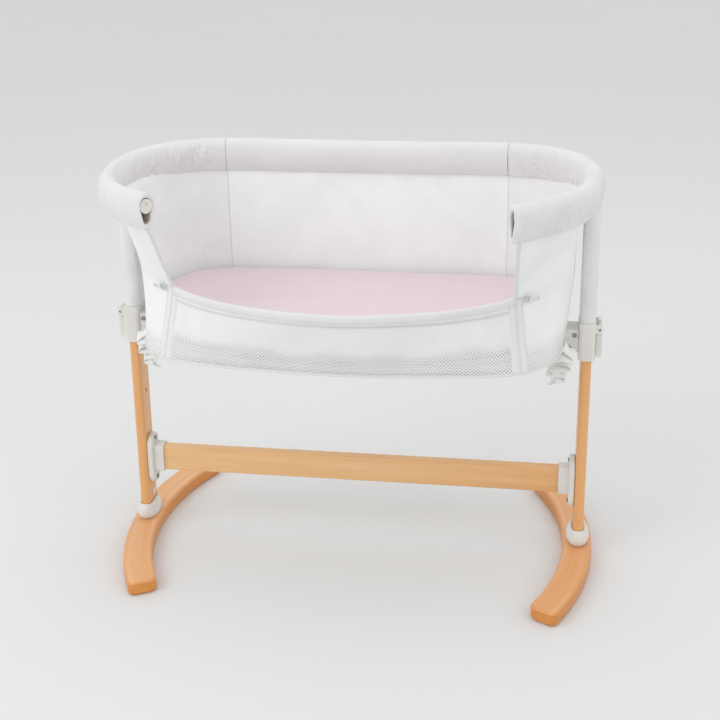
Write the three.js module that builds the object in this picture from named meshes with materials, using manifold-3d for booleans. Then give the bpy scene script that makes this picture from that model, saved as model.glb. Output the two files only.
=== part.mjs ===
// Bedside bassinet: a soft-sided cradle between two height-adjustable wooden legs.
// Frame: origin on the floor under the middle of the object, +X right, +Y back, +Z up, millimetres.
// Every piece is drawn about the legs' own plane, and addMesh moves it back by FRAME_Y.
import * as THREE from 'three';
import { mergeVertices } from 'three/addons/utils/BufferGeometryUtils.js';
import Module from 'manifold-3d';

const wasm = await Module();
wasm.setup();

// ---------------------------------------------------------------- driving dimensions
const GAP = 0.3; // working gap between touching pieces
const SLIP = 0.8; // extra width of a bore that slides on the leg or fits over it
const SLIP_ROUND = 8; // corner radius of those bores
const FRAME_Y = 12.75; // the legs stand this far behind the middle of the object's depth
const LEG_X = 430; // half distance between the legs
const LEG = { w: 20, d: 52, round: 7.5, bottom: 28 + GAP, top: 560 };
const HOLE = { r: 4.5, pitch: 66, first: 299, count: 4 };
const LOCK_Z = 431; // height of the locking pin
const SLIDE = { down: 132, up: 66 };
const GROOVE = { w: 11, depth: 6.5, margin: 7 };

const FOOT = { h: 28, w: 55, r: 540, halfAngle: 0.502, edge: 5, trim: 0.022, toeOut: 14, toeIn: 20 };
const BOLT = { r: 4, head: 9, bore: 4.6, sink: 11, seat: 11, head0: 4, top: 78 };
const PEG = { w: 9, h: 15, round: 4.4, z: 76 }; // cover over the cross hole at the leg's foot
const COLLAR = { rx: 22, ry: 40, h: 31 };

const BAR = { z0: 130.5, z1: 182, t: 22, half: 404, edge: 4 };
const BRACKET = { t: 11, w: 46, h: 106, z: 153.5, socketHalf: 28.5, socketT: 16, socketX: 389, round: 6 };
const SCREW = { head: 4.5, headT: 2, shank: 2.2, bore: 2.6, inset: 10 };

const POST = { w: 29.5, d: 58, wall: 1.8, bottom: 482.3, top: 709 };
const HOUSING = { w: 31, d: 64, z0: 410, z1: 482, spigot: 20, round: 9, edge: 1.5 };
const EAR = { t: 6, gap: 0.8, half: 7, reach: 4.5 }; // the two ears that carry the lever's pin
const LEVER = { t: 10.5, w: 42, z0: 416, z1: 479, hingeZ: 471, hingeX: 451.5, pinR: 2.2, boreR: 2.5 };
const SPRING = { r: 3.7, wire: 0.6, length: 10, turns: 3, perTurn: 8 };
const LOCK = { r: 4, bore: 4.4, head: 5 };
const LUG = { x0: 383, xOut: 392, z0: 425, z1: 468, w: 48, armZ0: 450.3, armZ1: 467.2 };
const LUG_SCREWS = [[398, 433], [407, 458]]; // their x and z

const RAIL = { z: 751, r: 12.5, wall: 2, sides: 10 };
const SADDLE = { t: 3, station: 5.1, halfX: 5, halfY: 18 };
const SLEEVE = { half: 19, top: 23, bottom: 38 };
const RING = { z: 459, r: 8, inset: 13 };
const BOARD = { z0: 467.5, t: 6, inset: 6 };
const MATTRESS = { z0: 474, z1: 511, inset: 9 };
const WALL = { t: 3, z0: 447, zMid: 567, z1: 711, bend: 10 };
const FLOOR = { z0: 444, t: 2.5, inset: 3 };
const BAND = { h: 15, t: 6 };
const ZIP = { above: 6, station: 0.28, w: 8, h: 12, t: 3.6, off: 4.4, tabL: 22, tabT: 1.9 };
const STRAP = { x0: 358, x1: 407, y: -70, d: 28, h: 62, round: 9 };

// Plan outlines, right half, from the middle of the back to the middle of the front: the basket
// at its bottom, at the height of its front edge and under the rail, and the rail itself.
const OUT_BOTTOM = [
  [0, 173], [140, 173], [275, 170], [336, 144], [373, 87], [389, 10], [385, -60], [362, -145],
  [314, -196], [258, -214], [162, -228], [0, -239],
];
const OUT_MID = [
  [0, 168], [140, 168], [276, 166], [345, 144], [386, 90], [402, 18], [396, -50], [357, -115],
  [300, -160], [246, -207], [160, -254], [0, -286],
];
const OUT_TOP = [
  [0, 160], [138, 160], [276, 159], [344, 136], [390, 80], [405, 10], [406, -70], [389, -166],
  [303, -276], [250, -304], [160, -336], [0, -360],
];
const OUT_RAIL = [
  [0, 160], [138, 160], [276, 159], [350, 135], [403, 80], [428, 8], [430, -74], [408, -170],
  [365, -235], [304, -281],
];
const SEAM = 2; // outline point where the back and side panels meet
const EDGE = 8; // outline point where the side and front panels meet
const RAIL_LAST = OUT_RAIL.length - 1;

// ---------------------------------------------------------------- materials
const COLOURS = {
  beech: [0xdca56c, 0.5, 0],
  beechFoot: [0xe0a565, 0.48, 0],
  plastic: [0xe4e1da, 0.42, 0],
  paint: [0xe9e9e7, 0.35, 0],
  steel: [0xb9bcc0, 0.3, 0.9],
  screw: [0x6b6a68, 0.4, 0.8],
  fabric: [0xf1f1f0, 0.9, 0],
  mesh: [0xeeefee, 0.85, 0],
  webbing: [0xecebe6, 0.9, 0],
  sheet: [0xf0d7e2, 0.9, 0],
  board: [0xe6e3dc, 0.8, 0],
};

const group = new THREE.Group();

function addMesh(name, geometry, look) {
  const [color, roughness, metalness] = COLOURS[look];
  const placed = geometry.clone().translate(0, FRAME_Y, 0);
  const mesh = new THREE.Mesh(placed, new THREE.MeshStandardMaterial({ color, roughness, metalness }));
  mesh.name = name;
  group.add(mesh);
}

// ---------------------------------------------------------------- geometry helpers
function toSolid(geometry) {
  const bare = geometry.clone();
  bare.deleteAttribute('normal');
  bare.deleteAttribute('uv');
  const merged = mergeVertices(bare, 1e-4);
  const vertProperties = new Float32Array(merged.attributes.position.array);
  const triVerts = new Uint32Array(merged.index.array);
  return new wasm.Manifold(new wasm.Mesh({ numProp: 3, vertProperties, triVerts }));
}

function toGeometry(solid) {
  const mesh = solid.getMesh();
  const geometry = new THREE.BufferGeometry();
  geometry.setAttribute('position', new THREE.BufferAttribute(new Float32Array(mesh.vertProperties), 3));
  geometry.setIndex(new THREE.BufferAttribute(new Uint32Array(mesh.triVerts), 1));
  geometry.computeVertexNormals();
  return geometry;
}

function combine(base, joined, cut) {
  let solid = toSolid(base);
  for (const piece of joined) {
    solid = solid.add(toSolid(piece));
  }
  for (const piece of cut) {
    solid = solid.subtract(toSolid(piece));
  }
  return toGeometry(solid);
}

function mirrored(geometry) {
  const copy = mergeVertices(geometry.clone().deleteAttribute('uv').deleteAttribute('normal'), 1e-4);
  copy.scale(-1, 1, 1);
  const index = copy.index.array;
  for (let i = 0; i < index.length; i += 3) {
    const swap = index[i];
    index[i] = index[i + 1];
    index[i + 1] = swap;
  }
  copy.computeVertexNormals();
  return copy;
}

function addPair(name, geometry, look, suffix = '') {
  addMesh(`${name}_right${suffix}`, geometry, look);
  addMesh(`${name}_left${suffix}`, mirrored(geometry), look);
}

function box(x0, x1, y0, y1, z0, z1) {
  const geometry = new THREE.BoxGeometry(x1 - x0, y1 - y0, z1 - z0);
  return geometry.translate((x0 + x1) / 2, (y0 + y1) / 2, (z0 + z1) / 2);
}

function roundedRect(w, h, r) {
  const shape = new THREE.Shape();
  shape.moveTo(-w / 2 + r, -h / 2);
  shape.lineTo(w / 2 - r, -h / 2);
  shape.absarc(w / 2 - r, -h / 2 + r, r, -Math.PI / 2, 0, false);
  shape.lineTo(w / 2, h / 2 - r);
  shape.absarc(w / 2 - r, h / 2 - r, r, 0, Math.PI / 2, false);
  shape.lineTo(-w / 2 + r, h / 2);
  shape.absarc(-w / 2 + r, h / 2 - r, r, Math.PI / 2, Math.PI, false);
  shape.lineTo(-w / 2, -h / 2 + r);
  shape.absarc(-w / 2 + r, -h / 2 + r, r, Math.PI, 1.5 * Math.PI, false);
  return shape;
}

function ringShape(r, inner, sides) {
  const shape = new THREE.Shape();
  shape.setFromPoints(circlePoints(r, sides));
  if (inner > 0) {
    shape.holes.push(new THREE.Path().setFromPoints(circlePoints(inner, sides)));
  }
  return shape;
}

function circlePoints(r, sides) {
  const points = [];
  for (let i = 0; i < sides; i += 1) {
    const a = (2 * Math.PI * i) / sides;
    points.push(new THREE.Vector2(r * Math.cos(a), r * Math.sin(a)));
  }
  return points;
}

function prism(shape, z0, z1, edge = 0, segments = 3, rounds = 1) {
  const geometry = new THREE.ExtrudeGeometry(shape, {
    depth: z1 - z0 - 2 * edge,
    bevelEnabled: edge > 0,
    bevelThickness: edge,
    bevelSize: edge,
    bevelOffset: -edge,
    bevelSegments: rounds,
    curveSegments: segments,
  });
  return geometry.translate(0, 0, z0 + edge);
}

// A prism whose outline lies in the YZ plane and whose length runs along X.
function prismX(shape, x0, x1, edge = 0, segments = 3) {
  const geometry = prism(shape, x0, x1, edge, segments);
  geometry.rotateX(Math.PI / 2);
  return geometry.rotateZ(Math.PI / 2);
}

function rodX(r, x0, x1, y, z, sides = 12) {
  const rod = new THREE.CylinderGeometry(r, r, x1 - x0, sides);
  return rod.rotateZ(Math.PI / 2).translate((x0 + x1) / 2, y, z);
}

function rodY(r, y0, y1, x, z, sides = 12) {
  return new THREE.CylinderGeometry(r, r, y1 - y0, sides).translate(x, (y0 + y1) / 2, z);
}

function rodZ(r, z0, z1, x, y, sides = 12) {
  const rod = new THREE.CylinderGeometry(r, r, z1 - z0, sides);
  return rod.rotateX(Math.PI / 2).translate(x, y, (z0 + z1) / 2);
}

function sweep(shape, curve, steps) {
  return new THREE.ExtrudeGeometry(shape, { steps, bevelEnabled: false, extrudePath: curve });
}

// ---------------------------------------------------------------- basket outline
const LAST = OUT_BOTTOM.length - 1;

function openCurve(points) {
  const list = points.map(([x, y]) => new THREE.Vector3(x, y, 0));
  return new THREE.CatmullRomCurve3(list, false, 'centripetal');
}

function closedCurve(points) {
  const other = points.slice(1, -1).reverse().map(([x, y]) => [-x, y]);
  const list = points.concat(other).map(([x, y]) => new THREE.Vector3(x, y, 0));
  return new THREE.CatmullRomCurve3(list, true, 'centripetal');
}

const LEVELS = [OUT_BOTTOM, OUT_MID, OUT_TOP].map(closedCurve);
const RAIL_HALF = openCurve(OUT_RAIL);

// Zero below t = 0 and t above it, rounded over a few millimetres.
function softRamp(t) {
  return (t + Math.hypot(t, WALL.bend)) / 2;
}

// Point of the basket's surface: station 0..11 around the right half, at height z.
function surfacePoint(station, z) {
  const t = (((station / LAST) % 2) + 2) % 2 / 2;
  const above = softRamp(z - WALL.zMid) / (WALL.z1 - WALL.zMid);
  const below = softRamp(WALL.zMid - z) / (WALL.zMid - WALL.z0);
  const weights = [below, 1 - above - below, above];
  const point = new THREE.Vector3();
  LEVELS.forEach((curve, i) => point.addScaledVector(curve.getPoint(t), weights[i]));
  point.z = z;
  return point;
}

// Outward direction in plan at a station.
function surfaceNormal(station, z) {
  const before = surfacePoint(station - 0.05, z);
  const after = surfacePoint(station + 0.05, z);
  const along = after.sub(before).setZ(0).normalize();
  return new THREE.Vector3(-along.y, along.x, 0);
}

// Frame on the basket's surface: X out of the cloth, Y along the outline, Z up the cloth.
function surfaceFrame(station, z) {
  const along = surfacePoint(station - 0.05, z).sub(surfacePoint(station + 0.05, z)).normalize();
  const up = surfacePoint(station, z + 4).sub(surfacePoint(station, z - 4)).normalize();
  const out = new THREE.Vector3().crossVectors(along, up).normalize();
  const matrix = new THREE.Matrix4().makeBasis(out, along, up.crossVectors(out, along));
  return matrix.setPosition(surfacePoint(station, z));
}

// Closed plan outline at height z, moved inward by inset.
function basketOutline(z, inset, perStation = 2) {
  const half = [];
  for (let i = 0; i <= LAST * perStation; i += 1) {
    const station = i / perStation;
    const point = surfacePoint(station, z);
    const normal = surfaceNormal(station, z);
    half.push(new THREE.Vector2(point.x - normal.x * inset, point.y - normal.y * inset));
  }
  half[0].x = 0;
  half[half.length - 1].x = 0;
  const other = half.slice(1, -1).reverse().map((p) => new THREE.Vector2(-p.x, p.y));
  return half.concat(other).reverse();
}

// A thin panel bent along the basket's surface. place(u, v) gives a station and a height.
function panel(across, up, thickness, place) {
  const geometry = new THREE.BoxGeometry(1, 1, 1, across, up, 1);
  const position = geometry.attributes.position;
  for (let i = 0; i < position.count; i += 1) {
    const [station, z] = place(position.getX(i) + 0.5, position.getY(i) + 0.5);
    const side = Math.sign(station) || 1;
    const point = surfacePoint(Math.abs(station), z);
    const normal = surfaceNormal(Math.abs(station), z);
    const out = position.getZ(i) * thickness;
    position.setXYZ(i, side * (point.x + normal.x * out), point.y + normal.y * out, z);
  }
  geometry.computeVertexNormals();
  return geometry;
}

// ---------------------------------------------------------------- stand
function footShape() {
  const { w, r, halfAngle, trim, toeOut, toeIn } = FOOT;
  const cx = LEG_X - r;
  const a0 = -halfAngle;
  const a1 = halfAngle;
  const at = (radius, angle) => [cx + radius * Math.cos(angle), radius * Math.sin(angle)];
  const outer = r + w / 2;
  const inner = r - w / 2;
  const inTrim = 1.6 * trim;
  const shape = new THREE.Shape();
  shape.moveTo(...at(outer, a0 + trim));
  shape.absarc(cx, 0, outer, a0 + trim, a1 - trim, false);
  shape.quadraticCurveTo(...at(outer, a1), ...at(outer - toeOut, a1));
  shape.lineTo(...at(inner + toeIn, a1));
  shape.quadraticCurveTo(...at(inner, a1), ...at(inner, a1 - inTrim));
  shape.absarc(cx, 0, inner, a1 - inTrim, a0 + inTrim, true);
  shape.quadraticCurveTo(...at(inner, a0), ...at(inner + toeIn, a0));
  shape.lineTo(...at(outer - toeOut, a0));
  shape.quadraticCurveTo(...at(outer, a0), ...at(outer, a0 + trim));
  return shape;
}

function buildFeet() {
  const blank = prism(footShape(), 0, FOOT.h, FOOT.edge, 8, 2);
  const counterbore = rodZ(BOLT.sink, -1, BOLT.seat, LEG_X, 0, 12);
  const hole = rodZ(BOLT.bore, BOLT.seat - 6, FOOT.h + 1, LEG_X, 0);
  addPair('foot', combine(blank, [], [counterbore, hole]), 'beechFoot');
  const shank = rodZ(BOLT.r, BOLT.seat - 3, BOLT.top, LEG_X, 0);
  const head = rodZ(BOLT.head, BOLT.head0, BOLT.seat - GAP, LEG_X, 0, 16);
  addPair('foot_bolt', combine(shank, [head], []), 'steel');
}

function buildCollars() {
  const profile = [[0, 0], [0.84, 0], [0.97, 0.2], [1, 0.42], [0.93, 0.72], [0.75, 1], [0, 1]];
  const points = profile.map(([x, y]) => new THREE.Vector2(x, y));
  const dome = new THREE.LatheGeometry(points, 20);
  dome.rotateX(Math.PI / 2);
  dome.scale(COLLAR.rx, COLLAR.ry, COLLAR.h);
  dome.translate(LEG_X, 0, FOOT.h + GAP);
  const bore = prism(roundedRect(LEG.w + SLIP, LEG.d + SLIP, SLIP_ROUND), LEG.bottom - 8, LEG.bottom + 40);
  addPair('leg_collar', combine(dome, [], [bore.translate(LEG_X, 0, 0)]), 'plastic');
}

function buildLegs() {
  const blank = prism(roundedRect(LEG.w, LEG.d, LEG.round), LEG.bottom, LEG.top);
  blank.translate(LEG_X, 0, 0);
  const cuts = [rodZ(BOLT.bore, LEG.bottom - 8, BOLT.top + 4, LEG_X, 0)];
  for (let i = 0; i < HOLE.count; i += 1) {
    cuts.push(rodX(HOLE.r, LEG_X - LEG.w, LEG_X + LEG.w, 0, HOLE.first + i * HOLE.pitch, 8));
  }
  const face = LEG_X + LEG.w / 2;
  const low = LOCK_Z - SLIDE.down - GROOVE.margin;
  const high = LOCK_Z + SLIDE.up + GROOVE.margin;
  cuts.push(box(face - GROOVE.depth, face + 2, -GROOVE.w / 2, GROOVE.w / 2, low, high));
  addPair('leg', combine(blank, [], cuts), 'beech');
  const inside = LEG_X - LEG.w / 2;
  const peg = prismX(roundedRect(PEG.w, PEG.h, PEG.round), inside - 2, inside - GAP);
  addPair('leg_plug', peg.translate(0, 0, PEG.z), 'plastic');
}

function buildCrossbar() {
  const outline = roundedRect(BAR.t, BAR.z1 - BAR.z0, BAR.edge);
  const bar = prismX(outline, -BAR.half, BAR.half);
  addMesh('crossbar', bar.translate(0, 0, (BAR.z0 + BAR.z1) / 2), 'beech');

  const face = LEG_X - LEG.w / 2 - GAP;
  const oval = roundedRect(BRACKET.w, BRACKET.h, BRACKET.w / 2 - 0.1);
  const plate = prismX(oval, face - BRACKET.t, face, 2, 4);
  plate.translate(0, 0, BRACKET.z);
  const socketShape = roundedRect(2 * BRACKET.socketT, 2 * BRACKET.socketHalf, BRACKET.round);
  const socket = prismX(socketShape, BRACKET.socketX, face - 4);
  socket.translate(0, 0, (BAR.z0 + BAR.z1) / 2);
  const halfT = BAR.t / 2 + GAP;
  const pocket = box(BRACKET.socketX - 5, BAR.half + GAP, -halfT, halfT, BAR.z0 - GAP, BAR.z1 + GAP);
  const rise = BRACKET.h / 2 - SCREW.inset;
  const bores = [-rise, rise].map((z) => rodX(SCREW.bore, face - BRACKET.t - 5, face + 5, 0, BRACKET.z + z));
  addPair('bar_bracket', combine(plate, [socket], [pocket, ...bores]), 'plastic');

  for (const [suffix, z] of [['_lower', -rise], ['_upper', rise]]) {
    const under = face - BRACKET.t - GAP;
    const head = rodX(SCREW.head, under - SCREW.headT, under, 0, BRACKET.z + z);
    const shank = rodX(SCREW.shank, under - 0.7, face - 0.5, 0, BRACKET.z + z);
    addPair('bracket_screw', combine(shank, [head], []), 'screw', suffix);
  }
}

// ---------------------------------------------------------------- height adjusters
function buildHousings() {
  const body = prism(roundedRect(HOUSING.w, HOUSING.d, HOUSING.round), HOUSING.z0, HOUSING.z1, HOUSING.edge);
  body.translate(LEG_X, 0, 0);
  const innerPost = [POST.w - 2 * POST.wall - 2 * GAP, POST.d - 2 * POST.wall - 2 * GAP];
  const collar = roundedRect(innerPost[0], innerPost[1], innerPost[0] / 2 - 0.1);
  const spigot = prism(collar, HOUSING.z1 - 5, HOUSING.z1 + HOUSING.spigot);
  spigot.translate(LEG_X, 0, 0);
  const face = LEG_X + HOUSING.w / 2;
  const ears = [-1, 1].map((side) => {
    const y = side * (LEVER.w / 2 + EAR.gap + EAR.t / 2);
    const [y0, y1] = [y - EAR.t / 2, y + EAR.t / 2];
    return box(face - 4, LEVER.hingeX + EAR.reach, y0, y1, LEVER.hingeZ - EAR.half, LEVER.hingeZ + EAR.half);
  });
  const slideway = roundedRect(LEG.w + SLIP, LEG.d + SLIP, SLIP_ROUND);
  const bore = prism(slideway, HOUSING.z0 - 2, HOUSING.z1 + HOUSING.spigot + 2);
  const cuts = [
    bore.translate(LEG_X, 0, 0),
    rodX(LOCK.bore, LEG_X, face + 2, 0, LOCK_Z),
    rodY(LEVER.boreR, -LEVER.w, LEVER.w, LEVER.hingeX, LEVER.hingeZ),
  ];
  addPair('height_housing', combine(body, [spigot, ...ears], cuts), 'plastic');
}

function leverShape() {
  const face = LEG_X + HOUSING.w / 2 + 0.6;
  const outer = face + LEVER.t;
  const shape = new THREE.Shape();
  shape.moveTo(face, LEVER.z0);
  shape.lineTo(outer - 2, LEVER.z0);
  shape.lineTo(outer, LEVER.z0 + 3);
  shape.lineTo(outer, LEVER.z1 - 6);
  shape.lineTo(outer - 2.5, LEVER.z1);
  shape.lineTo(face + 5.5, LEVER.z1);
  shape.lineTo(face, LEVER.hingeZ + 2);
  return shape;
}

function leverSpring() {
  const steps = SPRING.turns * SPRING.perTurn;
  const points = [];
  for (let i = 0; i <= steps; i += 1) {
    const a = (2 * Math.PI * i) / SPRING.perTurn;
    const y = SPRING.length * (i / steps - 0.5);
    const [x, z] = [SPRING.r * Math.cos(a), SPRING.r * Math.sin(a)];
    points.push(new THREE.Vector3(LEVER.hingeX + x, y, LEVER.hingeZ + z));
  }
  return sweep(ringShape(SPRING.wire, 0, 5), new THREE.CatmullRomCurve3(points), steps);
}

function buildLevers() {
  const blank = new THREE.ExtrudeGeometry(leverShape(), { depth: LEVER.w, bevelEnabled: false });
  blank.rotateX(Math.PI / 2).translate(0, LEVER.w / 2, 0);
  const face = LEG_X + HOUSING.w / 2;
  const cuts = [
    rodY(LEVER.boreR, -LEVER.w, LEVER.w, LEVER.hingeX, LEVER.hingeZ),
    box(face, face + 7.5, -7.5, 7.5, LOCK_Z - 8, LOCK_Z + 8),
    box(face, LEVER.hingeX + 5, -6.5, 6.5, LEVER.hingeZ - 8, LEVER.hingeZ + 8),
  ];
  addPair('release_lever', combine(blank, [], cuts), 'plastic');
  const pinHalf = LEVER.w / 2 + 6;
  addPair('lever_pin', rodY(LEVER.pinR, -pinHalf, pinHalf, LEVER.hingeX, LEVER.hingeZ), 'steel');
  addPair('lever_spring', leverSpring(), 'steel');

  const tip = LEG_X + LEG.w / 2 - GROOVE.depth + 0.5;
  const shank = rodX(LOCK.r, tip, face + 3, 0, LOCK_Z);
  const head = rodX(LOCK.head, face + 1.8, face + 4.6, 0, LOCK_Z);
  addPair('lock_pin', combine(shank, [head], []), 'steel');
}

function buildPosts() {
  const shape = roundedRect(POST.w, POST.d, POST.w / 2 - 0.1);
  const [innerW, innerD] = [POST.w - 2 * POST.wall, POST.d - 2 * POST.wall];
  shape.holes.push(new THREE.Path(roundedRect(innerW, innerD, innerW / 2 - 0.1).getPoints(4)));
  const tube = prism(shape, POST.bottom, POST.top, 0, 4);
  addPair('post', tube.translate(LEG_X, 0, 0), 'paint');
}

// Cap of the post with a stem that carries the rail.
function saddleStem(extra) {
  const x = RAIL_HALF.getPoint(SADDLE.station / RAIL_LAST).x;
  const [halfX, halfY] = [SADDLE.halfX + extra, SADDLE.halfY + extra];
  return box(x - halfX, x + halfX, -halfY, halfY, POST.top + 1, RAIL.z - RAIL.r / 2);
}

function buildSaddles(tubeOuter) {
  const cap = roundedRect(POST.w, POST.d, POST.w / 2 - 0.1);
  const plate = prism(cap, POST.top + GAP, POST.top + GAP + SADDLE.t, 0, 4);
  const plugW = POST.w - 2 * POST.wall - 2 * GAP;
  const plugD = POST.d - 2 * POST.wall - 2 * GAP;
  const plug = prism(roundedRect(plugW, plugD, plugW / 2 - 0.1), POST.top - 10, POST.top + 1, 0, 4);
  plate.translate(LEG_X, 0, 0);
  plug.translate(LEG_X, 0, 0);
  addPair('rail_saddle', combine(plate, [plug, saddleStem(0)], [tubeOuter]), 'plastic');
}

// ---------------------------------------------------------------- rail
function railCurve(from, to, z) {
  const points = [];
  const count = Math.round(Math.abs(to - from) * 2);
  for (let i = 0; i <= count; i += 1) {
    const station = from + ((to - from) * i) / count;
    const point = RAIL_HALF.getPoint(Math.min(Math.abs(station) / RAIL_LAST, 1));
    points.push(new THREE.Vector3(Math.sign(station) * point.x, point.y, z));
  }
  return new THREE.CatmullRomCurve3(points, false, 'centripetal');
}

// Teardrop section of the padded sleeve: x points down, y points away from the basket.
function sleeveShape() {
  const { half, top, bottom } = SLEEVE;
  const side = [
    [-top, 0], [-0.86 * top, 0.52 * half], [-0.45 * top, 0.92 * half], [0.15 * top, half],
    [0.42 * bottom, 0.8 * half], [0.75 * bottom, 0.42 * half], [bottom, 3],
  ];
  const other = side.slice(1).reverse().map(([x, y]) => [x, -y]);
  const shape = new THREE.Shape(side.concat(other).map(([x, y]) => new THREE.Vector2(x, y)));
  shape.holes.push(new THREE.Path().setFromPoints(circlePoints(RAIL.r + 3, RAIL.sides)));
  return shape;
}

function buildRail() {
  const steps = 28;
  const full = railCurve(-RAIL_LAST, RAIL_LAST, RAIL.z);
  const shape = ringShape(RAIL.r, RAIL.r - RAIL.wall, RAIL.sides);
  addMesh('rail_tube', sweep(shape, full, steps), 'paint');
  const tubeOuter = sweep(ringShape(RAIL.r + GAP, 0, RAIL.sides), full, steps);
  buildSaddles(tubeOuter);

  const cut = saddleStem(0.6);
  const back = railCurve(-SEAM + 0.03, SEAM - 0.03, RAIL.z);
  addMesh('rail_sleeve_back', sweep(sleeveShape(), back, 6), 'fabric');
  const side = railCurve(SEAM + 0.03, RAIL_LAST - 0.05, RAIL.z);
  const sleeve = sweep(sleeveShape(), side, 14);
  const plate = box(LEG_X - 20, LEG_X + 20, -34, 34, POST.top - 5, POST.top + 4);
  addPair('rail_sleeve', combine(sleeve, [], [cut, plate]), 'fabric');
  buildRailPlug(full);
}

function buildRailPlug(curve) {
  const end = curve.getPoint(1);
  const out = curve.getTangent(1);
  const turn = Math.atan2(out.y, out.x);
  const disc = rodX(RAIL.r, GAP, 4, 0, 0, 16);
  const spigot = rodX(RAIL.r - RAIL.wall - 1.6, -12, 1, 0, 0);
  const socket = rodX(2.8, 1.5, 6, 0, 3.5, 10);
  const plug = combine(disc, [spigot], [socket]);
  plug.rotateZ(turn).translate(end.x, end.y, end.z);
  addPair('rail_end_plug', plug, 'plastic');
}

// ---------------------------------------------------------------- basket
// The base ring runs once round the basket and ends in a butt joint at the middle of the back.
function ringPath() {
  const outline = basketOutline(RING.z, RING.inset);
  const points = outline.map((p) => new THREE.Vector3(p.x, p.y, RING.z));
  const joint = points.pop();
  const start = joint.clone().setX(-GAP);
  const end = joint.clone().setX(GAP);
  return new THREE.CatmullRomCurve3([start, ...points, end], false, 'centripetal');
}

function lugScrews(r, extra) {
  return LUG_SCREWS.map(([x, z]) => rodY(r, -LUG.w / 2 - 1.5 - extra, 5 + extra, x, z));
}

function buildFrame() {
  const path = ringPath();
  const steps = 44;
  addMesh('base_ring', sweep(ringShape(RING.r, 0, 8), path, steps), 'steel');
  const around = sweep(ringShape(RING.r + 3 * GAP, 0, 8), path, steps);

  const x1 = LEG_X - HOUSING.w / 2 - GAP;
  const arm = box(LUG.x0, x1, -LUG.w / 2, LUG.w / 2, LUG.armZ0, LUG.armZ1);
  const heel = box(LUG.xOut, x1, -LUG.w / 2, LUG.w / 2, LUG.z0, LUG.z1);
  const bores = lugScrews(2.5, 1);
  addPair('basket_lug', combine(arm, [heel], [around, ...bores]), 'plastic');
  lugScrews(2.2, 0).forEach((shank, i) => {
    const [x, z] = LUG_SCREWS[i];
    const head = rodY(4.2, -LUG.w / 2 - 2.6, -LUG.w / 2 - GAP, x, z);
    addPair('lug_screw', combine(shank, [head], []), 'screw', `_${i + 1}`);
  });

  const board = new THREE.Shape(basketOutline(BOARD.z0, BOARD.inset + WALL.t));
  addMesh('base_board', prism(board, BOARD.z0, BOARD.z0 + BOARD.t), 'board');
}

function buildMattress() {
  const outline = basketOutline(MATTRESS.z1 - 8, MATTRESS.inset + WALL.t);
  const shape = new THREE.Shape(outline);
  addMesh('mattress', prism(shape, MATTRESS.z0, MATTRESS.z1, 7), 'sheet');
}

function buildPanels() {
  const lugCut = box(330, 430, -LUG.w / 2 - 2, LUG.w / 2 + 2, WALL.z0 - 10, LUG.z1 + 2);
  const side = panel(14, 11, WALL.t, (u, v) => [
    EDGE - 0.02 - (EDGE - SEAM - 0.04) * u,
    WALL.z0 + (WALL.z1 - WALL.z0) * v,
  ]);
  const sideCut = combine(side, [], [lugCut]);
  addPair('side_wall', sideCut, 'mesh');
  const back = panel(8, 2, WALL.t, (u, v) => [
    (SEAM - 0.02) * (1 - 2 * u),
    WALL.z0 + (WALL.z1 - WALL.z0) * v,
  ]);
  addMesh('back_wall', back, 'mesh');
}

function frontStation(u) {
  const span = LAST - EDGE - 0.04;
  return u < 0.5 ? -(EDGE + 0.04) - span * 2 * u : EDGE + 0.04 + span * 2 * (1 - u);
}

function buildFront() {
  const top = WALL.zMid - BAND.h / 2 - GAP;
  const front = panel(16, 3, WALL.t, (u, v) => [frontStation(u), WALL.z0 + (top - WALL.z0) * v]);
  addMesh('front_panel', front, 'mesh');
  const low = WALL.zMid - BAND.h / 2;
  addMesh('front_binding', panel(16, 1, BAND.t, (u, v) => [frontStation(u), low + BAND.h * v]), 'fabric');
  const floor = new THREE.Shape(basketOutline(WALL.z0, FLOOR.inset + WALL.t));
  addMesh('basket_floor', prism(floor, FLOOR.z0, FLOOR.z0 + FLOOR.t), 'fabric');
}

// ---------------------------------------------------------------- zip hardware and straps
function buildZips() {
  const { w, h, t, off, tabL, tabT } = ZIP;
  const place = (geometry) => geometry.applyMatrix4(surfaceFrame(EDGE - ZIP.station, WALL.zMid + ZIP.above));
  const body = box(off, off + t, -w / 2, w / 2, -h / 2, h / 2);
  const slot = box(off + t - 1, off + t + 1, -1.8, 1.8, -h, h);
  addPair('zip_slider', place(combine(body, [], [slot])), 'steel');
  const face = off + t + GAP;
  const tab = prismX(roundedRect(tabL, w, 3.6), face, face + tabT).translate(0, tabL / 2 + 1.5, 0);
  const eye = prismX(roundedRect(9, w / 2, 1.9), face - 1, face + tabT + 1).translate(0, tabL - 3, 0);
  addPair('zip_pull', place(combine(tab, [], [eye])), 'steel');
}

function buildStraps() {
  const strap = prismX(roundedRect(STRAP.d, STRAP.h, STRAP.round), STRAP.x0, STRAP.x1);
  strap.translate(0, STRAP.y, FLOOR.z0 - 2 - STRAP.h / 2);
  addPair('strap', strap, 'webbing');
}

buildFeet();
buildCollars();
buildLegs();
buildCrossbar();
buildHousings();
buildLevers();
buildPosts();
buildRail();
buildFrame();
buildMattress();
buildPanels();
buildFront();
buildZips();
buildStraps();

export default group;
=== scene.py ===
"""Looks of the bedside bassinet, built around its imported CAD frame.

Lengths in the building code are millimetres; meshes are scaled to metres when they are made.
"""
import math

import bpy
from mathutils import Matrix, Vector, noise


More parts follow.
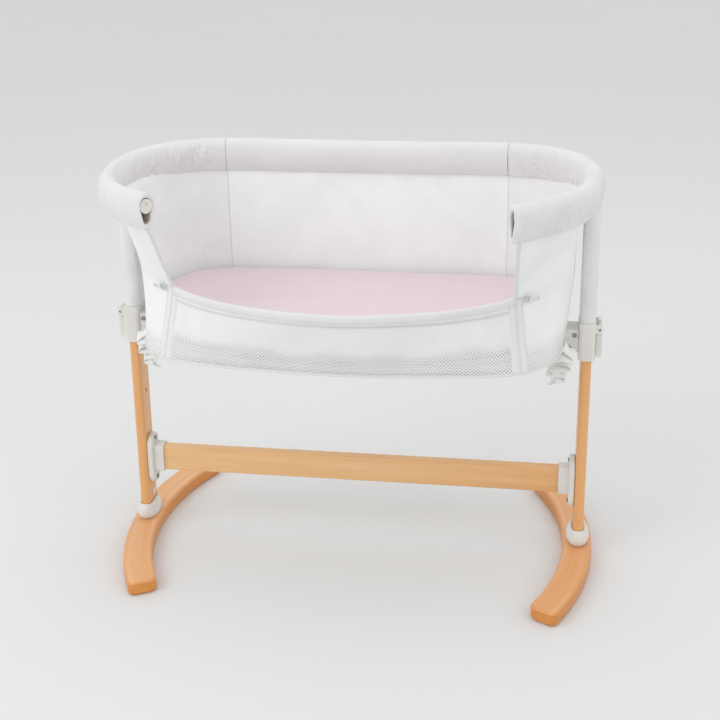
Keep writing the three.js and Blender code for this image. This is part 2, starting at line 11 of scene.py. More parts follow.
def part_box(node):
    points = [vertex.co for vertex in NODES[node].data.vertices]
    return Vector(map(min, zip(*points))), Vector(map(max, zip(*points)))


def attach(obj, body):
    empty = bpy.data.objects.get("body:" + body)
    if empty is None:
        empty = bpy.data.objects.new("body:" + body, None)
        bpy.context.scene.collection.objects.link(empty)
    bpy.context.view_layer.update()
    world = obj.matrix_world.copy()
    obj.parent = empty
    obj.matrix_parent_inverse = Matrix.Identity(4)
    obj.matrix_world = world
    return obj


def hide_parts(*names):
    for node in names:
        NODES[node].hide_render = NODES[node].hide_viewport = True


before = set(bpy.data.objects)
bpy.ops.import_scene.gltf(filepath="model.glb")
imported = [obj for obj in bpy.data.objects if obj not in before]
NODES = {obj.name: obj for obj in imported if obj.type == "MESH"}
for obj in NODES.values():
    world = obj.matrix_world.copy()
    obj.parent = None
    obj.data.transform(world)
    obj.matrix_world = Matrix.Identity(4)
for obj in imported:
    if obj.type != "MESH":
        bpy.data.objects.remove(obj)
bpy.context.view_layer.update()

MM = 0.001
TAU = 2 * math.pi


def leg_plane():
    """How far the plane of the legs stands behind the frame's origin, in metres."""
    low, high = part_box("leg_right")
    return (low.y + high.y) / 2


LEG_Y = leg_plane()


def node_mm(name):
    """A CAD node's box in millimetres, about the plane of the legs."""
    shift = Vector((0, LEG_Y, 0))
    low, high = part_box(name)
    return (low - shift) / MM, (high - shift) / MM


# ---------------------------------------------------------------- sizes from the frame
WALL_LOW = node_mm("side_wall_right")[0].z
WALL_TOP = node_mm("side_wall_right")[1].z
BAND_LOW, BAND_TOP = (p.z for p in node_mm("front_binding"))
WALL_MID = (BAND_LOW + BAND_TOP) / 2  # height of the front's top edge, where the walls bend
RAIL_Z = (node_mm("rail_tube")[0].z + node_mm("rail_tube")[1].z) / 2
BED_LOW, BED_TOP = (p.z for p in node_mm("mattress"))
SLEEVE_TOP = node_mm("rail_sleeve_back")[1].z - RAIL_Z
SLEEVE_BOTTOM = RAIL_Z - node_mm("rail_sleeve_back")[0].z
LEG_X = (node_mm("leg_right")[0].x + node_mm("leg_right")[1].x) / 2

# Plan outlines, right half, from the middle of the back to the middle of the front, as in the CAD.
OUT_BOTTOM = [
    (0, 173), (140, 173), (275, 170), (336, 144), (373, 87), (389, 10), (385, -60), (362, -145),
    (314, -196), (258, -214), (162, -228), (0, -239),
]
OUT_MID = [
    (0, 168), (140, 168), (276, 166), (345, 144), (386, 90), (402, 18), (396, -50), (357, -115),
    (300, -160), (246, -207), (160, -254), (0, -286),
]
OUT_TOP = [
    (0, 160), (138, 160), (276, 159), (344, 136), (390, 80), (405, 10), (406, -70), (389, -166),
    (303, -276), (250, -304), (160, -336), (0, -360),
]
OUT_RAIL = [
    (0, 160), (138, 160), (276, 159), (350, 135), (403, 80), (428, 8), (430, -74), (408, -170),
    (365, -235), (304, -281),
]
SEAM = 2  # outline point where the back and side panels meet
EDGE = 8  # outline point where the side and front panels meet
LAST = len(OUT_BOTTOM) - 1
RAIL_LAST = len(OUT_RAIL) - 1
SIDES = ((1, "right"), (-1, "left"))


# ---------------------------------------------------------------- curves and the basket's surface
def catmull(points, closed, t):
    """Point of a centripetal Catmull-Rom curve at parameter t, counted in points."""
    n = len(points)
    if not closed:
        t = min(max(t, 0), n - 1)
    i = int(math.floor(t))
    if not closed and i >= n - 1:
        i = n - 2
    w = t - i
    if closed:
        p = [points[(i + k) % n] for k in (-1, 0, 1, 2)]
    else:
        first = points[i - 1] if i > 0 else mirror_end(points[0], points[1])
        last = points[i + 2] if i + 2 < n else mirror_end(points[-1], points[-2])
        p = [first, points[i], points[i + 1], last]
    d = [max(math.hypot(b[0] - a[0], b[1] - a[1]) ** 0.5, 1e-4) for a, b in zip(p, p[1:])]
    return tuple(hermite([q[k] for q in p], d, w) for k in (0, 1))


def spread(a, b, count):
    """Values from a to b in count even steps."""
    return [a + (b - a) * i / count for i in range(count + 1)]


def mirror_end(end, inner):
    """The point past a curve's end, as far from it as the one before it."""
    return (2 * end[0] - inner[0], 2 * end[1] - inner[1])


def hermite(x, d, w):
    """One coordinate of the curve between x[1] and x[2], for four knots d apart, at share w."""
    t1 = (x[1] - x[0]) / d[0] - (x[2] - x[0]) / (d[0] + d[1]) + (x[2] - x[1]) / d[1]
    t2 = (x[2] - x[1]) / d[1] - (x[3] - x[1]) / (d[1] + d[2]) + (x[3] - x[2]) / d[2]
    t1 *= d[1]
    t2 *= d[1]
    c2 = -3 * x[1] + 3 * x[2] - 2 * t1 - t2
    c3 = 2 * x[1] - 2 * x[2] + t1 + t2
    return x[1] + t1 * w + c2 * w * w + c3 * w * w * w


def closed_outline(points):
    """A right half from back to front, with its mirror image added."""
    return points + [(-x, y) for x, y in reversed(points[1:-1])]


LEVELS = [closed_outline(o) for o in (OUT_BOTTOM, OUT_MID, OUT_TOP)]
WALL_BEND = 10.0  # height over which the wall turns at its middle


def soft_ramp(t):
    """Zero below t = 0 and t above it, rounded over a few millimetres."""
    return (t + math.hypot(t, WALL_BEND)) / 2


def surface(station, z):
    """Point of the basket at a station, negative on the left half, and a height."""
    above = soft_ramp(z - WALL_MID) / (WALL_TOP - WALL_MID)
    below = soft_ramp(WALL_MID - z) / (WALL_MID - WALL_LOW)
    weights = (below, 1 - above - below, above)
    x = y = 0
    for level, weight in zip(LEVELS, weights):
        px, py = catmull(level, True, abs(station) % (2 * LAST))
        x += px * weight
        y += py * weight
    return Vector((math.copysign(1, station) * x if station else x, y, z))


def outward(station, z):
    """Outward direction in plan at a station."""
    side = -1 if station < 0 else 1
    before = surface(abs(station) - 0.05 if abs(station) > 0.05 else 0.001, z)
    along = surface(abs(station) + 0.05, z) - before
    return Vector((-along.y * side, along.x, 0)).normalized()


class Path:
    """A polyline read by its length."""

    def __init__(self, points):
        self.points = points
        self.lengths = [0.0]
        for a, b in zip(points, points[1:]):
            self.lengths.append(self.lengths[-1] + (b - a).length)
        self.length = self.lengths[-1]
        self.last = 0
        self.inside = 1  # 1 where side_axes' level direction points into the basket, or -1

    def at(self, s):
        s = min(max(s, 0), self.length)
        i = self.last
        while i > 0 and self.lengths[i] > s:
            i -= 1
        while i < len(self.points) - 2 and self.lengths[i + 1] < s:
            i += 1
        self.last = i
        span = self.lengths[i + 1] - self.lengths[i]
        return self.points[i].lerp(self.points[i + 1], (s - self.lengths[i]) / max(span, 1e-9))

    def along(self, s):
        return (self.at(s + 1.5) - self.at(s - 1.5)).normalized()


def rail_path(start, end):
    """The rail's axis between two stations of its outline."""
    points = []
    for station in spread(start, end, 240):
        x, y = catmull(OUT_RAIL, False, abs(station))
        points.append(Vector((math.copysign(x, station), y, RAIL_Z)))
    path = Path(points)
    path.inside = 1 if end > start else -1
    return path


# ---------------------------------------------------------------- mesh helpers
def make_object(name, verts, faces, uvs, material, slot="padded_fabric"):
    """A smooth mesh object on the cradle, from millimetre points.

    uvs has one pair per vertex, in metres of cloth, or is None.
    """
    mesh = bpy.data.meshes.new(name)
    mesh.from_pydata([(p[0] * MM, p[1] * MM + LEG_Y, p[2] * MM) for p in verts], [], faces)
    if uvs:
        layer = mesh.uv_layers.new(name="cloth")
        for loop in mesh.loops:
            layer.data[loop.index].uv = uvs[loop.vertex_index]
    mesh.polygons.foreach_set("use_smooth", [True] * len(mesh.polygons))
    mesh.materials.append(material)
    obj = bpy.data.objects.new(name, mesh)
    bpy.context.scene.collection.objects.link(obj)
    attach(obj, "cradle")
    return obj


def grid(rows, wrap=False):
    """Vertices, faces and metre UVs of a grid of points; wrap joins each row's ends."""
    across = len(rows[0])
    verts = [p for row in rows for p in row]
    faces = []
    for r in range(len(rows) - 1):
        for c in range(across if wrap else across - 1):
            d = (c + 1) % across
            faces.append((r * across + c, r * across + d, (r + 1) * across + d, (r + 1) * across + c))
    uvs = []
    middle = across // 2
    down = 0.0
    for r, row in enumerate(rows):
        if r:
            down += (Vector(row[middle]) - Vector(rows[r - 1][middle])).length
        over = 0.0
        for c, p in enumerate(row):
            if c:
                over += (Vector(p) - Vector(row[c - 1])).length
            uvs.append((over * MM, down * MM))
    return verts, faces, uvs


def grid_object(name, rows, material, slot="padded_fabric", wrap=False):
    verts, faces, uvs = grid(rows, wrap)
    return make_object(name, verts, faces, uvs, material, slot)


def tube_rows(path, section, step):
    """Rings of section(s), a list of (out, up) pairs, along a path; up is the world's."""
    count = max(2, round(path.length / step))
    rows = []
    for i in range(count + 1):
        s = path.length * i / count
        out, up = side_axes(path.along(s))
        centre = path.at(s)
        rows.append([centre + out * a + up * b for a, b in section(s)])
    return rows


def side_axes(along):
    """Two directions across a path: level and outward, and the one nearest to up."""
    if abs(along.z) > 0.9:
        out = Vector((0, -1, 0)).cross(along).normalized()
        return out, along.cross(out).normalized()
    out = along.cross(Vector((0, 0, 1))).normalized()
    return out, out.cross(along).normalized()


def circle(r, sides=10):
    return [(r * math.cos(TAU * i / sides), r * math.sin(TAU * i / sides)) for i in range(sides)]


def capped(rows):
    """A wrapped grid with its two ends closed."""
    verts, faces, uvs = grid(rows, True)
    n = len(rows[0])
    faces.append(tuple(reversed(range(n))))
    faces.append(tuple(range(len(verts) - n, len(verts))))
    return verts, faces, uvs


def piping(name, path, r):
    """A round covered cord sewn along a path."""
    rows = tube_rows(path, lambda s: circle(r, 8), 5.0)
    make_object(name, *capped(rows), TRIM)


# One stitch, as (share of its length from its middle, share of its radius).
STITCH = [(-0.5, 0.25), (-0.38, 0.8), (0, 1), (0.38, 0.8), (0.5, 0.25)]
STITCH_SIDES = 6


def stitch(path, s, length, r):
    """Vertices and faces of one stitch whose middle is at s along the path."""
    along = path.along(s)
    out, up = side_axes(along)
    rows = []
    for share, width in STITCH:
        centre = path.at(s) + along * (share * length)
        rows.append([centre + out * a + up * b for a, b in circle(r * width, STITCH_SIDES)])
    return capped(rows)[:2]


def stitch_row(name, runs, material, pitch=4.2, length=2.9, r=0.42):
    """Rows of thread stitches: runs is a list of (path, start, end) with the path on the cloth."""
    verts, faces = [], []
    for path, start, end in runs:
        s = start
        while s + length < end:
            base = len(verts)
            points, around = stitch(path, s + length / 2, length, r)
            verts += points
            faces += [tuple(base + k for k in face) for face in around]
            s += pitch
    return make_object(name, verts, faces, None, material)


# ---------------------------------------------------------------- materials
class Build:
    """Small helper that wires a Principled material."""

    def __init__(self, name, color, rough, metallic=0.0):
        self.material = bpy.data.materials.new(name)
        self.material.use_nodes = True
        self.tree = self.material.node_tree
        self.shader = self.tree.nodes["Principled BSDF"]
        self.set("Base Color", (*color, 1))
        self.set("Roughness", rough)
        self.set("Metallic", metallic)

    def set(self, socket, value):
        self.shader.inputs[socket].default_value = value

    def node(self, kind, inputs=None, **props):
        made = self.tree.nodes.new(kind)
        for key, value in props.items():
            setattr(made, key, value)
        for key, value in (inputs or {}).items():
            self.feed(made, key, value)
        return made

    def feed(self, node, key, value):
        if isinstance(value, bpy.types.NodeSocket):
            self.tree.links.new(value, node.inputs[key])
        else:
            node.inputs[key].default_value = value

    def coords(self):
        return self.node("ShaderNodeTexCoord").outputs["Object"]

    def parts(self, vector):
        """The X, Y and Z of a vector."""
        return self.node("ShaderNodeSeparateXYZ", {0: vector}).outputs

    def uv(self):
        return self.node("ShaderNodeUVMap", uv_map="cloth").outputs["UV"]

    def mapped(self, vector, scale, rotation=(0, 0, 0)):
        inputs = {"Vector": vector, "Scale": scale, "Rotation": rotation}
        return self.node("ShaderNodeMapping", inputs).outputs["Vector"]

    def noise(self, vector, scale, detail=3.0, rough=0.5, distortion=0.0):
        inputs = {"Vector": vector, "Scale": scale, "Detail": detail, "Roughness": rough,
                  "Distortion": distortion}
        return self.node("ShaderNodeTexNoise", inputs).outputs["Fac"]

    def math(self, operation, a, b=0.0, c=0.0):
        made = self.node("ShaderNodeMath", operation=operation)
        for i, value in enumerate((a, b, c)):
            self.feed(made, i, value)
        return made.outputs[0]

    def ramp(self, value, stops):
        made = self.node("ShaderNodeValToRGB", {"Fac": value})
        elements = made.color_ramp.elements
        while len(elements) < len(stops):
            elements.new(0.5)
        for element, (place, color) in zip(elements, stops):
            element.position = place
            element.color = (*color, 1)
        return made.outputs["Color"]

    def mix(self, share, a, b):
        """Colour a turning into colour b as share goes from 0 to 1."""
        made = self.node("ShaderNodeMix", data_type="RGBA")
        for socket in made.inputs:
            if socket.enabled:
                value = {"Factor": share, "A": a, "B": b}[socket.name]
                self.tree.links.new(value, socket)
        return next(socket for socket in made.outputs if socket.enabled)

    def remap(self, value, low, high, to_low, to_high):
        inputs = {0: value, 1: low, 2: high, 3: to_low, 4: to_high}
        return self.node("ShaderNodeMapRange", inputs).outputs[0]

    def bump(self, heights):
        """Chains bump nodes: heights is a list of (value, distance in metres, strength)."""
        normal = None
        for value, distance, strength in heights:
            inputs = {"Height": value, "Distance": distance, "Strength": strength}
            if normal is not None:
                inputs["Normal"] = normal
            normal = self.node("ShaderNodeBump", inputs).outputs["Normal"]
        self.tree.links.new(normal, self.shader.inputs["Normal"])

    def link(self, value, socket):
        self.tree.links.new(value, self.shader.inputs[socket])

    def tint(self, value, start, end, color, shade):
        """Base colour from a shade of color, where value is start, to color, where it is end."""
        low = tuple(c * shade for c in color)
        self.link(self.ramp(value, [(start, low), (end, color)]), "Base Color")


def wood_material(name, grain, light, mid, dark, edge=None, lean=0.0):
    """Lacquered beech. grain gives the vector whose third axis runs along the fibres.

    edge is the colour of upright faces, a painted shade that darkens the sides against the lit tops, and
    lean how fast the board's colour darkens towards +X, painted shade where the light falls off.
    """
    b = Build(name, mid, 0.4)
    vector = grain(b)
    stretched = b.mapped(vector, (1, 1, 0.045))
    broad = b.noise(stretched, 34, 4, 0.55, 0.6)
    fine = b.noise(b.mapped(vector, (1, 1, 0.02)), 420, 2, 0.6)
    fleck = b.noise(b.mapped(vector, (1, 1, 0.16)), 900, 1, 0.5)
    mixed = b.math("MULTIPLY_ADD", fine, 0.35, b.math("MULTIPLY", broad, 0.65))
    dots = b.remap(fleck, 0.66, 0.74, 0.0, 0.22)
    value = b.math("SUBTRACT", mixed, dots)
    # painted shade: the colour darkens towards +X, where the light falls off
    if lean:
        across = b.parts(b.coords())[0]
        value = b.math("SUBTRACT", value, b.math("MULTIPLY", across, lean))
    face = b.ramp(value, [(0.22, dark), (0.46, mid), (0.7, light)])
    # painted shade: upright faces, found by the world normal, take the darker edge colour, as if the
    # sides were in shadow
    if edge:
        side = b.ramp(value, [(0.22, tuple(c * 0.8 for c in edge)), (0.6, edge)])
        normal = b.node("ShaderNodeNewGeometry").outputs["Normal"]
        up = b.parts(normal)[2]
        face = b.mix(b.remap(up, 0.45, 0.95, 0.0, 1.0), side, face)
    b.link(face, "Base Color")
    b.link(b.remap(broad, 0.3, 0.7, 0.33, 0.46), "Roughness")
    b.set("Coat Weight", 0.25)
    b.set("Coat Roughness", 0.22)
    b.bump([(fine, 0.0002, 0.35), (fleck, 0.0003, 0.25)])
    return b.material


def grain_z(b):
    return b.coords()


def grain_x(b):
    return b.mapped(b.coords(), (1, 1, 1), (0, math.radians(90), 0))


FOOT_R = 0.540  # radius of the foot's bend in metres


def grain_foot(b):
    """Follows the foot's bend: radius, height and arc length about the bend's centre."""
    parts = b.parts(b.coords())
    x = b.math("SUBTRACT", b.math("ABSOLUTE", parts[0]), LEG_X * MM - FOOT_R)
    y = b.math("SUBTRACT", parts[1], LEG_Y)
    radius = b.math("SQRT", b.math("ADD", b.math("MULTIPLY", x, x), b.math("MULTIPLY", y, y)))
    arc = b.math("MULTIPLY", b.math("ARCTAN2", y, x), FOOT_R)
    return b.node("ShaderNodeCombineXYZ", {0: radius, 1: parts[2], 2: arc}).outputs[0]


def plastic_material(name, color, rough, grain=0.00006):
    """Moulded plastic: fine spark-eroded grain, faint flow marks and rubbed patches."""
    b = Build(name, color, rough)
    fine = b.noise(b.coords(), 1900, 2, 0.6)
    broad = b.noise(b.coords(), 26, 3, 0.5)
    low = tuple(c * 0.965 for c in color)
    high = tuple(min(1, c * 1.02) for c in color)
    b.link(b.ramp(broad, [(0.35, low), (0.62, high)]), "Base Color")
    b.link(b.remap(broad, 0.3, 0.7, rough - 0.05, rough + 0.07), "Roughness")
    b.bump([(fine, grain, 0.5), (broad, 0.0006, 0.12)])
    return b.material


def metal_material(name, color, rough, metallic=1.0):
    b = Build(name, color, rough, metallic)
    brushed = b.noise(b.mapped(b.coords(), (1, 1, 12)), 700, 2, 0.6)
    spots = b.noise(b.coords(), 120, 3, 0.6)
    b.tint(spots, 0.3, 0.6, color, 0.86)
    b.link(b.remap(brushed, 0.3, 0.7, rough - 0.06, rough + 0.1), "Roughness")
    b.bump([(brushed, 0.00005, 0.3)])
    return b.material


def weave_height(b, pitch, vector=None):
    """Plain weave: warp and weft threads passing over each other."""
    vector = vector or b.uv()
    waves = []
    for direction in ("X", "Y"):
        inputs = {"Vector": vector, "Scale": 0.5 / pitch, "Distortion": 0.0}
        made = b.node("ShaderNodeTexWave", inputs, bands_direction=direction, wave_profile="SIN")
        waves.append(made.outputs["Fac"])
    return b.math("MAXIMUM", waves[0], waves[1]), b.math("MULTIPLY", waves[0], waves[1])


def cloth_material(name, color, pitch=0.00075, sheen=0.25, rough=0.88, shade=0.95, use_uv=True):
    """Woven cloth with slubs, a soft colour drift and a plain weave in the bump."""
    b = Build(name, color, rough)
    vector = b.uv() if use_uv else b.coords()
    top, cross = weave_height(b, pitch, vector)
    slub = b.noise(b.mapped(vector, (1, 0.12, 1)), 900, 2, 0.6)
    drift = b.noise(b.coords(), 11, 4, 0.55)
    mixed = b.math("MULTIPLY_ADD", slub, 0.3, b.math("MULTIPLY", drift, 0.7))
    b.tint(mixed, 0.36, 0.6, color, shade)
    b.link(b.remap(cross, 0, 1, rough - 0.06, min(1, rough + 0.06)), "Roughness")
    b.set("Sheen Weight", sheen)
    b.set("Sheen Roughness", 0.45)
    b.bump([(top, 0.00018, 0.5), (slub, 0.0003, 0.35), (drift, 0.0016, 0.25)])
    return b.material


PAINTED_GLOW = 0.05  # painted light: the mesh glows a little, standing in for daylight that filters through the open knit


def mesh_material(name, color, pitch, hole, fade=None):
    """Warp-knit mesh: round holes on a diamond lattice, with raised yarn round each.

    hole is the radius over the pitch. fade is (low, high) heights in metres between which the
    holes close, where a second layer lies behind the mesh.
    """
    b = Build(name, color, 0.85)
    turned = b.mapped(b.uv(), (1 / pitch, 1 / pitch, 1), (0, 0, math.radians(45)))
    inputs = {"Vector": turned, "Scale": 1.0, "Randomness": 0.0}
    made = b.node("ShaderNodeTexVoronoi", inputs, voronoi_dimensions="2D", feature="F1")
    distance = made.outputs["Distance"]
    radius = hole
    if fade:
        height = b.parts(b.coords())[2]
        level = b.math("SUBTRACT", height, 0.012)
        ragged = b.math("MULTIPLY_ADD", b.noise(b.coords(), 13, 2), 0.03, level)
        radius = b.remap(ragged, fade[0], fade[1], hole, hole * 0.08)
    edge = b.math("SUBTRACT", distance, radius)
    alpha = b.remap(edge, -0.05, 0.05, 0.0, 1.0)
    b.link(alpha, "Alpha")
    yarn = b.remap(edge, 0.0, 0.3, 0.0, 1.0)
    drift = b.noise(b.coords(), 14, 3, 0.5)
    b.tint(drift, 0.35, 0.62, color, 0.95)
    thread = b.noise(b.uv(), 2600, 1, 0.5)
    b.link(b.remap(thread, 0.3, 0.7, 0.78, 0.92), "Roughness")
    b.set("Sheen Weight", 0.2)
    # painted light: a faint white glow stands in for light coming through the knit
    b.set("Emission Color", (1.0, 1.0, 1.0, 1))
    b.set("Emission Strength", PAINTED_GLOW)
    b.bump([(yarn, 0.0005, 0.6), (thread, 0.0001, 0.4)])
    return b.material


def webbing_material(name, color):
    b = Build(name, color, 0.82)
    made = b.node("ShaderNodeTexWave", {"Vector": b.uv(), "Scale": 260.0, "Distortion": 0.4},
                  bands_direction="DIAGONAL", wave_profile="SIN")
    ribs = made.outputs["Fac"]
    b.tint(ribs, 0.2, 0.7, color, 0.93)
    b.link(b.remap(ribs, 0, 1, 0.9, 0.75), "Roughness")
    b.set("Sheen Weight", 0.2)
    b.bump([(ribs, 0.0003, 0.6)])
    return b.material


BEECH = wood_material("beech_leg", grain_z, (0.86, 0.475, 0.20), (0.80, 0.41, 0.155),
                      (0.70, 0.32, 0.105))
# lean paints shade, darkening the bar towards +X where the light falls off
BEECH_BAR = wood_material("beech_bar", grain_x, (0.875, 0.56, 0.285), (0.81, 0.465, 0.205),
                          (0.74, 0.365, 0.135), lean=0.42)
# edge paints shade on the feet's upright sides; lean darkens them towards +X as painted shade
BEECH_FOOT = wood_material("beech_foot", grain_foot, (0.87, 0.50, 0.26), (0.80, 0.40, 0.165),
                           (0.72, 0.31, 0.10), edge=(0.74, 0.28, 0.05), lean=0.12)
PLASTIC = plastic_material("moulded_plastic", (0.77, 0.75, 0.71), 0.42)
PAINT = plastic_material("powder_coat", (0.80, 0.80, 0.785), 0.34, 0.0001)
STEEL = metal_material("bright_zinc", (0.66, 0.66, 0.66), 0.3)
ZIP_METAL = metal_material("zip_enamel", (0.80, 0.80, 0.79), 0.45, 0.12)
SCREW = metal_material("screw_zinc", (0.34, 0.33, 0.31), 0.45)
CLOTH = cloth_material("sleeve_cloth", (0.82, 0.82, 0.815))
TRIM = cloth_material("trim_cloth", (0.82, 0.82, 0.81), 0.0006)
TAPE = cloth_material("zip_tape_cloth", (0.89, 0.89, 0.88), 0.0006)
THREAD = cloth_material("stitch_thread", (0.80, 0.80, 0.79), 0.0003, use_uv=False)
SHEET = cloth_material("pink_jersey", (0.86, 0.70, 0.755), 0.0006, 0.3, 0.9, 0.97, use_uv=False)
MESH_FINE = mesh_material("mesh_fine", (0.925, 0.955, 0.945), 0.0024, 0.10)
MESH_SIDE = mesh_material("mesh_side", (0.86, 0.88, 0.875), 0.0046, 0.22, (0.478, 0.498))
MESH_FRONT = mesh_material("mesh_front", (0.825, 0.83, 0.82), 0.0046, 0.25, (0.490, 0.506))
FLOOR_CLOTH = cloth_material("underside_cloth", (0.78, 0.78, 0.78), 0.0009)
WEBBING = webbing_material("strap_webbing", (0.96, 0.955, 0.935))
BOARD = plastic_material("covered_board", (0.80, 0.79, 0.775), 0.75, 0.0002)
# painted shade: warm dark cloth inside the sleeve's open ends, where shadow falls
SLEEVE_END_SHADE = cloth_material("sleeve_end_painted_shade", (0.62, 0.54, 0.47), 0.0008)

CAD_LOOKS = {
    "foot_": BEECH_FOOT, "foot_bolt": STEEL, "leg_": BEECH, "leg_collar": PLASTIC,
    "leg_plug": PLASTIC, "crossbar": BEECH_BAR, "bar_bracket": PLASTIC, "bracket_screw": SCREW,
    "height_housing": PLASTIC, "release_lever": PLASTIC, "lever_pin": STEEL,
    "lever_spring": STEEL, "lock_pin": STEEL, "post_": PAINT, "rail_saddle": PLASTIC,
    "rail_tube": PAINT, "rail_end_plug": PLASTIC, "basket_lug": PLASTIC, "lug_screw": SCREW,
    "base_ring": PAINT, "base_board": BOARD, "zip_slider": ZIP_METAL, "zip_pull": ZIP_METAL,
}
CAD_EDGES = {
    "foot_": 3.2, "foot_bolt": 0, "leg_collar": 1.2, "leg_": 1.4, "crossbar": 1.0, "bar_bracket": 1.2,
    "height_housing": 1.3, "release_lever": 1.2, "rail_end_plug": 0.8, "basket_lug": 1.6,
    "lug_screw": 0.5, "bracket_screw": 0.5, "rail_saddle": 0.8, "post_": 0.4,
}


def longest_match(name, table):
    keys = [key for key in table if name.startswith(key)]
    return table[max(keys, key=len)] if keys else None


EDGE_ANGLE = 38  # degrees of turn from which an edge is rounded
SHALLOW_ONLY = {"foot_": 60}  # edges that turn more than this, such as a bolt hole's, stay sharp


def weigh_edges(mesh, low, high):
    """Bevel weight on the edges whose faces turn by between low and high degrees."""
    faces = {}
    for polygon in mesh.polygons:
        for a, b in polygon.edge_keys:
            faces.setdefault(edge_spot(mesh, a, b), []).append(polygon.normal.copy())
    weights = mesh.attributes.new("bevel_weight_edge", "FLOAT", "EDGE")
    for edge in mesh.edges:
        normals = faces[edge_spot(mesh, *edge.vertices)]
        turn = math.degrees(normals[0].angle(normals[-1], 0))
        weights.data[edge.index].value = 1.0 if low < turn < high else 0.0


def edge_spot(mesh, a, b):
    """The same key for the edges that meet between two unjoined faces."""
    ends = (mesh.vertices[a].co, mesh.vertices[b].co)
    return frozenset(tuple(round(c / MM * 100) for c in end) for end in ends)


def dress_cad():
    """Procedural material and rounded edges on the CAD nodes that stay."""
    for name, obj in NODES.items():
        look = longest_match(name, CAD_LOOKS)
        if look is None:
            continue
        obj.data.materials.clear()
        obj.data.materials.append(look)
        obj.data.polygons.foreach_set("use_smooth", [True] * len(obj.data.polygons))
        weld = obj.modifiers.new("weld", "WELD")
        weld.merge_threshold = 0.00002
        width = longest_match(name, CAD_EDGES)
        if width:
            bevel = obj.modifiers.new("edges", "BEVEL")
            bevel.width = width * MM
            bevel.segments = 2
            bevel.limit_method = "ANGLE"
            bevel.angle_limit = math.radians(EDGE_ANGLE)
            steepest = longest_match(name, SHALLOW_ONLY)
            if steepest:
                weigh_edges(obj.data, EDGE_ANGLE, steepest)
                bevel.limit_method = "WEIGHT"
            bevel.harden_normals = False
        smooth = obj.modifiers.new("normals", "WEIGHTED_NORMAL")
        smooth.keep_sharp = True


dress_cad()


# ---------------------------------------------------------------- padded rail sleeve
# Half of the sleeve's section, as (down, out) shares of its height from the rail and its half width.
SLEEVE_SIDE = [
    (-1.0, 0.0), (-0.9, 0.45), (-0.55, 0.86), (-0.08, 1.0), (0.30, 0.96), (0.60, 0.78),
    (0.88, 0.50), (1.08, 0.22),
]
SLEEVE_HALF = 16.5  # half of the sleeve's width
SLEEVE_SHIFT = 2.5  # the wadding hangs towards the inside of the basket
SECTION_STEPS = 48  # points round the sleeve


def closed_section(side):
    """The half section mirrored and read evenly round, as (out, up) pairs."""
    loop = side + [(-out, up) for out, up in reversed(side[1:])]
    n = len(loop)
    return [catmull(loop, True, n * i / SECTION_STEPS) for i in range(SECTION_STEPS)]


def sleeve_profile():
    """Teardrop section of the padded sleeve."""
    side = []
    for down, out in SLEEVE_SIDE:
        scale = SLEEVE_TOP if down < 0 else SLEEVE_BOTTOM
        side.append((out * SLEEVE_HALF, -down * scale))
    return closed_section(side)


PROFILE = sleeve_profile()
HEM = SECTION_STEPS // 2  # the point of the section that the lower seam runs along
# Half of the sleeve's open end, as (out, up): round over the rail's plug, with a pocket under it.
OPENING_SIDE = [
    (0.0, 13.6), (7.0, 11.6), (11.4, 6.2), (12.6, -1.5), (10.2, -9), (8.0, -17), (7.0, -24), (3.6, -29),
]
OPENING = closed_section(OPENING_SIDE)


def wrinkle(s, k, seed, amount):
    """Small gathers across the sleeve, strongest low on its sides, plus the wadding's lumps."""
    out, up = PROFILE[k]
    low = min(1, max(0, (20 - up) / 24)) * min(1, max(0, (up + SLEEVE_BOTTOM) / 9))
    where = noise.noise(Vector((s * 0.012, seed * 3.1, 0.4))) * 0.6 + 0.5
    lean = s + up * (0.25 + 0.3 * noise.noise(Vector((s * 0.02, seed, 1.7))))
    fold = noise.noise(Vector((lean * 0.085, up * 0.012, seed * 7.7 + math.copysign(3, out))))
    crease = (1 - abs(fold) * 3.2) if abs(fold) < 0.3 else 0.04
    lump = noise.noise(Vector((s * 0.028, k * 0.12, seed)))
    return amount * low * where * (crease * 1.5 - 0.7) + 0.7 * lump


SLEEVE_STEP = 4.0  # length of sleeve between two rings
SEAM_GAP = 0.3  # from a seam to the end of each length of sleeve beside it
SLEEVE_MIDDLE = -6.0  # height of the section's middle from the rail's axis
TUCK_RUN = 7.0  # length over which an end of the sleeve is drawn in
TUCK = 0.06  # by how much


def sleeve_rows(path, lay, seed, amount, cut_end, end, sag):
    """Rings of the sleeve along lay, a path as long as the rail's; an end has its own rings."""
    length = path.length - SEAM_GAP - cut_end
    count = round(length / SLEEVE_STEP)
    rows = []
    for i in range(count + 1):
        s = SEAM_GAP + length * i / count
        near = min(s - SEAM_GAP, SEAM_GAP + length - s) / TUCK_RUN
        tuck = 1 - TUCK * (1 - min(1, near)) ** 2
        bend = curvature(path, s)
        drop = Vector((0, 0, -sag * end_share(path, s)))
        rows.append([p + drop for p in sleeve_ring(lay, s, tuck, seed, amount * (0.35 + bend))])
    if end:
        for forward, share, pinch in END_RINGS[end]:
            ring = end_ring(lay, path.length - cut_end, forward, share, pinch)
            rows.append([p + Vector((0, 0, -sag)) for p in ring])
    return rows


SAG_RUN = 110.0  # length of sleeve over which its free end sinks


def end_share(path, s):
    """0 before the sleeve's last stretch to 1 at its free end."""
    t = min(1, max(0, 1 - (path.length - s) / SAG_RUN))
    return t * t * (3 - 2 * t)


